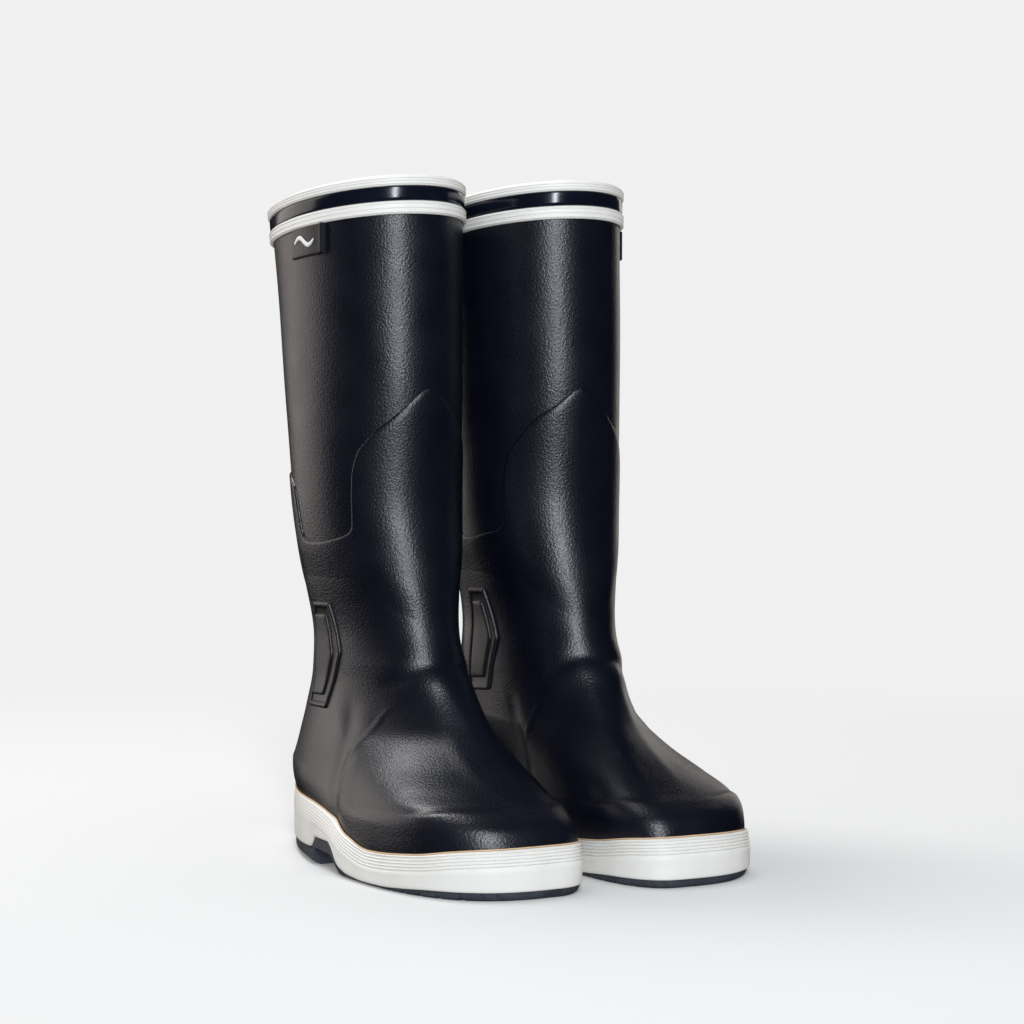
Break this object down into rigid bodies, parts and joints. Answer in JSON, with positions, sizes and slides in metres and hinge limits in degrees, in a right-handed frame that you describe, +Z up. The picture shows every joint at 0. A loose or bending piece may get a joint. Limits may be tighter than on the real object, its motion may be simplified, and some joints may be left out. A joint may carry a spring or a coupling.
{
  "type": "deck boots",
  "caption": "Pair of tall rubber deck boots with banded tops, leg guards, ankle plates, ribbed pale sole walls and grooved outsoles, standing side by side.",
  "frame": {"origin": "on the floor, under the middle of the pair's bounding box", "axes": "+Z up the legs, toes towards -Y, the left boot towards +X"},
  "size_m": [0.2404, 0.3142, 0.417],
  "materials": {
    "navy_rubber": "satin, finely pebbled",
    "gloss_rubber": "gloss",
    "white_rubber": "matt",
    "grey_rubber": "matt",
    "tan_rubber": "matt",
    "dark_rubber": "satin",
    "knit_lining": "knit",
    "fibre_board": "matt",
    "sole_foam": "matt, cellular",
    "sponge_rubber": "matt, cellular",
    "spring_steel": "brushed",
    "footbed_foam": "cloth faced"
  },
  "bodies": {
    "right_boot": {"right_foot": "navy_rubber", "right_leg": "navy_rubber", "right_lining": "knit_lining", "right_toe_stiffener": "fibre_board", "right_heel_stiffener": "fibre_board", "right_top_binding": "white_rubber", "right_collar_band": "gloss_rubber", "right_lower_band": "white_rubber", "right_label_tab": "dark_rubber", "right_label_mark": "white_rubber", "right_leg_guard": "navy_rubber", "right_outer_ankle_plate": "dark_rubber", "right_outer_ankle_pad": "navy_rubber", "right_inner_ankle_plate": "dark_rubber", "right_inner_ankle_pad": "navy_rubber", "right_toe_cap": "navy_rubber", "right_heel_counter": "navy_rubber", "right_foxing": "white_rubber", "right_foxing_line": "tan_rubber", "right_outsole": "grey_rubber", "right_heel_block": "sponge_rubber", "right_midsole": "sole_foam", "right_shank": "spring_steel", "right_insole_board": "fibre_board"},
    "right_footbed": {"right_footbed": "footbed_foam"},
    "left_boot": {"left_foot": "navy_rubber", "left_leg": "navy_rubber", "left_lining": "knit_lining", "left_toe_stiffener": "fibre_board", "left_heel_stiffener": "fibre_board", "left_top_binding": "white_rubber", "left_collar_band": "gloss_rubber", "left_lower_band": "white_rubber", "left_label_tab": "dark_rubber", "left_label_mark": "white_rubber", "left_leg_guard": "navy_rubber", "left_outer_ankle_plate": "dark_rubber", "left_outer_ankle_pad": "navy_rubber", "left_inner_ankle_plate": "dark_rubber", "left_inner_ankle_pad": "navy_rubber", "left_toe_cap": "navy_rubber", "left_heel_counter": "navy_rubber", "left_foxing": "white_rubber", "left_foxing_line": "tan_rubber", "left_outsole": "grey_rubber", "left_heel_block": "sponge_rubber", "left_midsole": "sole_foam", "left_shank": "spring_steel", "left_insole_board": "fibre_board"},
    "left_footbed": {"left_footbed": "footbed_foam"}
  },
  "joints": [
    {"name": "right_footbed_peel", "type": "hinge", "parent": "right_boot", "child": "right_footbed", "pos_m": [-0.04526, -0.1332, 0.0223], "axis": [1, 0, 0], "range_deg": [0, 4]},
    {"name": "left_boot_lift", "type": "slide", "parent": "right_boot", "child": "left_boot", "axis": [0, 0, 1], "range_m": [0, 0.45]},
    {"name": "left_footbed_peel", "type": "hinge", "parent": "left_boot", "child": "left_footbed", "pos_m": [0.03685, -0.1441, 0.0223], "axis": [0.9969, -0.0785, 0], "range_deg": [0, 4]}
  ]
}
